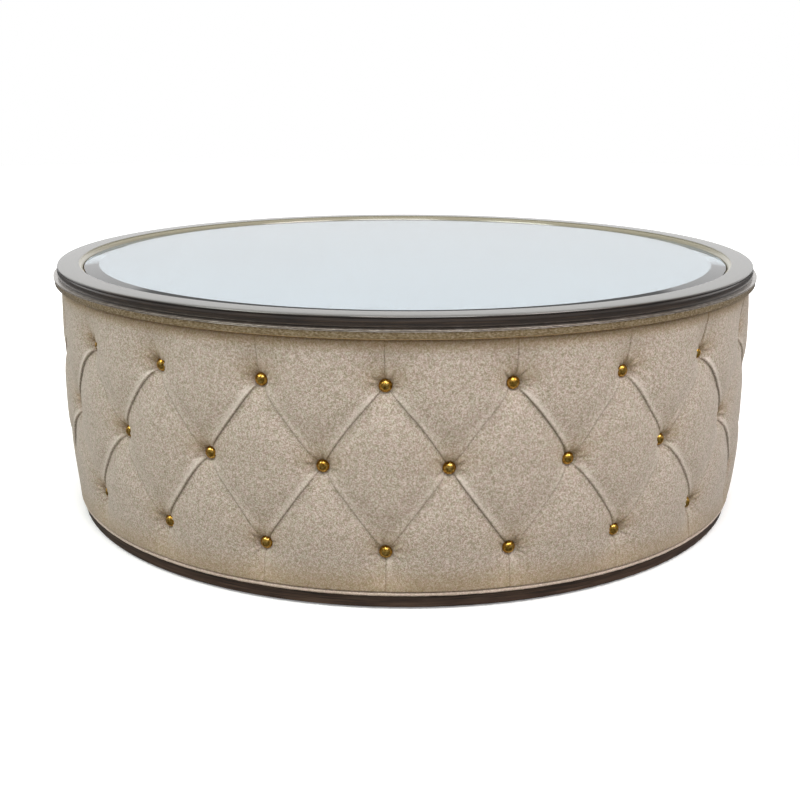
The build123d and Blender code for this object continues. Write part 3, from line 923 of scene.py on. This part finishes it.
# toned leaf: a warm pale gold, uneven in fine level specks, glossy
champagne_leaf = leafed(
    "champagne_leaf_toned", shades=(leaf_low, leaf_mid, leaf_high), along=2.2
)
# the bead's leaf: a greyer leaf tone, painted paler as a painted reflection of the white room on the
# reeds
bead_reflection_leaf = leafed(
    "champagne_leaf_bead_painted_paler", shades=(bright_low, bright_mid, bright_high), along=4.0
)
band = turned_ring(
    "leaf_band_turned",
    [
        arc_run((607.2, 394.8), 0.8, -90, 0, 5),
        arc_run((606.7, 402.3), 1.0, 0, 90, 5),
        np.array([[598.3, 403.25], [598.3, 394.0]]),
    ],
)
bead = turned_ring(
    "double_reed_bead",
    [
        arc_run((609.0, 403.82), 0.48, -90, 90, 9),
        np.array([[607.4, 404.35], [607.4, 405.05]]),
        arc_run((609.0, 405.55), 0.48, -90, 90, 9),
        np.array([[598.3, 406.03], [598.3, 403.34]]),
    ],
)
for piece, finish, node in (
    (band, champagne_leaf, "leaf_band"),
    (bead, bead_reflection_leaf, "bead_ring"),
):
    piece.data.materials.append(finish)
    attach(piece, "table")
    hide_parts(node)

# Top rim: a moulded hardwood ring in the plinth's stain, with a quirk cut under its
# edge and one at its foot; the cove that runs down to the glass is painted a paler greenish grey, a
# painted reflection.
rim_mid = "#251b14"
rim_worn = "#3d2f23"
# the flat's pale grey below is a painted reflection of the white room
flat_painted_reflection = "#888a86"
# the cove's paler greenish grey below is a painted reflection of the white room
cove_reflection_low = "#7a7562"
cove_reflection_high = "#958f79"
cove_edge = 0.5672  # metres from the axis, inside which the cove is painted paler
flat_height = 0.4225  # metres, above which the top is flat and painted paler
flat_reflection_share = 0.34  # how much of the painted paler tone, a painted reflection, shows there
rim_ring = turned_ring(
    "top_rim_moulded",
    [
        # the foot, then its quirk
        np.array([[601.4, 406.15], [602.1, 406.4], [602.1, 407.3]]),
        np.array([[601.0, 407.6], [601.0, 408.3], [602.2, 408.7]]),
        # the bowed side, then the quirk over it and the rounded edge
        arc_run((581.0, 414.1), 22.2, -13.5, 13.5, 12),
        np.array([[601.0, 419.7], [601.0, 420.6]]),
        arc_run((600.6, 421.3), 1.8, -10, 90, 8),
        # the flat, its soft inner edge, the cove down to the glass, and the back
        np.array([[590.0, 423.25], [580.0, 423.4]]),
        arc_run((568.3, 421.5), 1.9, 85, 150, 7),
        arc_run((569.0, 413.0), 8.7, 105, 172, 12),
        np.array([[560.3, 412.8], [560.3, 406.2]]),
    ],
)
# the same stained wood, smoother and more polished than the plinth: it mirrors the white room
# above a near-black side; the flat is painted paler and the cove a paler greenish grey, both a
# painted reflection of the white room
rim_finish, rim_tree, rim_shader, rim_ramp, rim_parts, rim_out = grained(
    "stained_hardwood_rim_satin_lacquer",
    shades=(stain_deep, rim_mid, rim_worn),
    gloss=0.36,
    coat=0.76,
    coat_gloss=0.13,
)
rim_shader.inputs["Coat IOR"].default_value = 2.0
rim_shader.inputs["Specular IOR Level"].default_value = 0.3
cove_noise = add(
    rim_tree,
    "ShaderNodeTexNoise",
    inputs={
        "Vector": add(rim_tree, "ShaderNodeTexCoord").outputs["Object"],
        "Scale": per_metre(leaf_fleck),
        "Detail": 4.0,
    },
)
# painted reflection: the cove takes a paler greenish grey
cove_reflection_ramp = add(
    rim_tree,
    "ShaderNodeValToRGB",
    inputs={"Fac": cove_noise.outputs["Fac"]},
    stops=[(0.3, cove_reflection_low), (0.75, cove_reflection_high)],
)
inside = add(
    rim_tree,
    "ShaderNodeMath",
    {"operation": "LESS_THAN"},
    {0: rim_out.outputs["Value"], 1: cove_edge},
)
on_flat = add(
    rim_tree,
    "ShaderNodeMath",
    {"operation": "GREATER_THAN"},
    {0: rim_parts.outputs["Z"], 1: flat_height},
)
flat_reflection = add(
    rim_tree,
    "ShaderNodeMath",
    {"operation": "MULTIPLY"},
    {0: on_flat.outputs["Value"], 1: flat_reflection_share},
)
# painted reflection: the flat top is mixed towards a pale grey
reflected_top = add(
    rim_tree,
    "ShaderNodeMix",
    {"data_type": "RGBA"},
    {"Factor": flat_reflection.outputs["Value"], 6: rim_ramp.outputs["Color"], 7: linear(flat_painted_reflection)},
)
rim_colour = add(
    rim_tree,
    "ShaderNodeMix",
    {"data_type": "RGBA"},
    {"Factor": inside.outputs["Value"], 6: reflected_top.outputs[2], 7: cove_reflection_ramp.outputs["Color"]},
)
rim_tree.links.new(rim_colour.outputs[2], rim_shader.inputs["Base Color"])
rim_ring.data.materials.append(rim_finish)
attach(rim_ring, "table")
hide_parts("top_rim")

# Mirror: bevelled clear glass with silver on its back, bedded in dabs of mastic. The
# silver is drawn a hair behind the glass, because two faces in one place turn it dark.
glass_tint_size = 300.0  # how slowly the glass's faint blue changes, in millimetres
silver_radius = 558.6
silver_eye = 0.5  # the pinhole in which the faces meet
silver_face, silver_back = 412.26, 412.02
silver_turns = 240
# deposited silver: a perfect mirror, very slightly warm and uneven
silver = speckled(
    "mirror_silver_deposited",
    size=40.0,  # its slow unevenness
    stops=[(0.3, "#f2f4f4"), (0.7, "#f6f8f8")],
    Metallic=1.0,
    Roughness=0.0,
)
# polished float glass: clear, with a faint blue cast and bright bevels
glass, glass_tree, glass_shader = new_finish(
    "clear_float_glass_polished", Roughness=0.0, IOR=1.52, Transmission_Weight=1.0
)
glass_place = add(glass_tree, "ShaderNodeTexCoord")
glass_noise = add(
    glass_tree,
    "ShaderNodeTexNoise",
    inputs={"Vector": glass_place.outputs["Object"], "Scale": per_metre(glass_tint_size)},
)
glass_ramp = add(
    glass_tree,
    "ShaderNodeValToRGB",
    inputs={"Fac": glass_noise.outputs["Fac"]},
    stops=[(0.3, "#ecf8ff"), (0.7, "#eaf5fc")],
)
glass_tree.links.new(glass_ramp.outputs["Color"], glass_shader.inputs["Base Color"])
# cured mirror mastic: dull warm grey
mastic = speckled(
    "mirror_mastic_cured",
    size=4.0,  # its lumps
    stops=[(0.3, "#8e8a80"), (0.7, "#a29e94")],
    Roughness=0.8,
)
silver_disc = swept(
    "mirror_silver",
    np.array([silver_eye, silver_radius, silver_radius, silver_eye]),
    np.array([silver_face, silver_face, silver_back, silver_back]),
    silver_turns,
)
silver_disc.data.flip_normals()
silver_disc.data.shade_flat()
silver_disc.data.materials.append(silver)
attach(silver_disc, "table")
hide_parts("mirror_silvering")
dress(glass, "mirror_glass")
dress(mastic, "mirror_mastic")

# Studio floor: plain white paper, as a wide disc. The camera sees it glow to white away from the
# table, gloss shows it dark grey, and the light that it throws back on the cloth is a soft beige.
glow_start, glow_full = 0.6, 2.4  # metres from the axis
glow_least, glow_most = 0.25, 0.9
floor_radii = np.array([1.0, 700.0, 1500.0, 4000.0, 9000.0])
floor_turns = 96
paper_white = "#f1f1f1"
paper_reflected = "#5c5c5c"
paper_bounced = "#b6b0a6"
floor = swept(
    "studio_floor", floor_radii, np.zeros(len(floor_radii)), floor_turns, round_too=False
)
floor.data.flip_normals()
# matt paper: no shine at all
paper, paper_tree, paper_shader = new_finish(
    "white_studio_paper",
    Roughness=0.9,
    Specular_IOR_Level=0.1,
    Emission_Color=linear("#ffffff"),
)
paper_place = add(paper_tree, "ShaderNodeTexCoord")
paper_out = add(
    paper_tree,
    "ShaderNodeVectorMath",
    {"operation": "LENGTH"},
    {0: paper_place.outputs["Object"]},
)
paper_glow = add(
    paper_tree,
    "ShaderNodeMapRange",
    {"interpolation_type": "SMOOTHSTEP"},
    {
        "Value": paper_out.outputs["Value"],
        "From Min": glow_start,
        "From Max": glow_full,
        "To Min": glow_least,
        "To Max": glow_most,
    },
)
paper_path = add(paper_tree, "ShaderNodeLightPath")
paper_seen = add(
    paper_tree,
    "ShaderNodeMath",
    {"operation": "MULTIPLY"},
    {0: paper_glow.outputs["Result"], 1: paper_path.outputs["Is Camera Ray"]},
)
paper_dimmed = add(
    paper_tree,
    "ShaderNodeMix",
    {"data_type": "RGBA"},
    {
        "Factor": paper_path.outputs["Is Diffuse Ray"],
        6: linear(paper_reflected),
        7: linear(paper_bounced),
    },
)
paper_shade = add(
    paper_tree,
    "ShaderNodeMix",
    {"data_type": "RGBA"},
    {
        "Factor": paper_path.outputs["Is Camera Ray"],
        6: paper_dimmed.outputs[2],
        7: linear(paper_white),
    },
)
paper_tree.links.new(paper_shade.outputs[2], paper_shader.inputs["Base Color"])
paper_tree.links.new(paper_seen.outputs["Value"], paper_shader.inputs["Emission Strength"])
floor.data.materials.append(paper)

# Studio surround: white low down behind the table, and grey above and in front, as the mirror and
# the rim show it. The camera sees it white all round, and the cloth is lit by a dimmer one.
surround_front = 0.28
surround_above = 0.385
surround_on_cloth = 0.5
grey_starts, grey_full = 0.245, 0.27  # heights on a ball of radius one round the table
front_ends, back_starts = -0.1, 0.5  # the same from front to back
world = bpy.data.worlds.new("studio")
bpy.context.scene.world = world
world.use_nodes = True
sky = world.node_tree
direction = add(sky, "ShaderNodeTexCoord")
parts = add(sky, "ShaderNodeSeparateXYZ", inputs={"Vector": direction.outputs["Generated"]})
above = add(
    sky,
    "ShaderNodeMapRange",
    {"interpolation_type": "SMOOTHSTEP"},
    {"Value": parts.outputs["Z"], "From Min": grey_starts, "From Max": grey_full},
)
behind = add(
    sky,
    "ShaderNodeMapRange",
    {"interpolation_type": "SMOOTHSTEP"},
    {
        "Value": parts.outputs["Y"],
        "From Min": front_ends,
        "From Max": back_starts,
        "To Min": surround_front,
        "To Max": 1.0,
    },
)
shown = add(
    sky,
    "ShaderNodeMix",
    {"data_type": "FLOAT"},
    {"Factor": above.outputs["Result"], 2: behind.outputs["Result"], 3: surround_above},
)
path = add(sky, "ShaderNodeLightPath")
dimmed = add(
    sky,
    "ShaderNodeMix",
    {"data_type": "FLOAT"},
    {"Factor": path.outputs["Is Diffuse Ray"], 2: shown.outputs[0], 3: surround_on_cloth},
)
seen = add(
    sky,
    "ShaderNodeMix",
    {"data_type": "FLOAT"},
    {"Factor": path.outputs["Is Camera Ray"], 2: dimmed.outputs[0], 3: 1.0},
)
sky.links.new(seen.outputs[0], sky.nodes["Background"].inputs["Strength"])
sky.nodes["Background"].inputs["Color"].default_value = linear("#ffffff")


# Lamps: a key high in front and a soft box on each side of it, and two dimmer ones overhead
# and behind, which light the cloth and leave no glints on the rim and the buttons.
def lamp(name, place, aim, size, watts, shade, glints=True):
    """A soft square lamp at place, turned towards aim, both in metres. The camera doesn't see it,
    nor does the silver, which is seen through the glass. With glints, gloss on wood, metal and the
    glass's own face shows it."""
    data = bpy.data.lights.new(name, "AREA")
    data.shape = "SQUARE"
    data.size = size
    data.energy = watts
    data.color = linear(shade)[:3]
    new = bpy.data.objects.new(name, data)
    bpy.context.scene.collection.objects.link(new)
    new.location = place
    new.rotation_euler = (Vector(place) - Vector(aim)).to_track_quat("Z", "Y").to_euler()
    new.visible_camera = False
    new.visible_transmission = False
    new.visible_glossy = glints


lamp(
    "key_high_in_front",
    place=(0.3, -2.2, 2.9),
    aim=(0, -0.3, 0.2),
    size=1.8,
    watts=60,
    shade="#fffffe",
)
lamp(
    "left_soft_box",
    place=(-2.3, -1.5, 2.9),
    aim=(-0.3, 0, 0.2),
    size=1.6,
    watts=51,
    shade="#fbfff6",
)
lamp(
    "right_soft_box",
    place=(2.3, -1.5, 2.9),
    aim=(0.3, 0, 0.2),
    size=1.6,
    watts=51,
    shade="#fff6f2",
)
lamp(
    "overhead",
    place=(-0.4, 0.6, 2.8),
    aim=(0, 0, 0.3),
    size=1.6,
    watts=25,
    shade="#fffdfb",
    glints=False,
)
lamp(
    "back_soft_box",
    place=(0.2, 2.7, 1.9),
    aim=(0, 0.3, 0.2),
    size=1.6,
    watts=30,
    shade="#fffdfb",
    glints=False,
)

# Camera: fitted to the photograph's own rim, plinth and button rows. It stands a few degrees
# round the table, so that the buttons fall where the photograph has them.
turned_by = np.radians(2.5)
camera_data = bpy.data.cameras.new("camera")
camera_data.lens = 51.321
camera_data.sensor_width = 36.0
camera = bpy.data.objects.new("camera", camera_data)
bpy.context.scene.collection.objects.link(camera)
right = (0.9999896, 0.00436108, 0.00133715)
up_way = (-0.00245241, 0.26684253, 0.96373702)
backward = (0.00384613, -0.96373028, 0.26685045)
stands_at = (0.0, -2.0532, 0.7128)
stand = Matrix((*zip(right, up_way, backward, stands_at), (0, 0, 0, 1)))
camera.matrix_world = Matrix.Rotation(turned_by, 4, "Z") @ stand
bpy.context.scene.camera = camera
bpy.context.scene.view_settings.view_transform = "Standard"
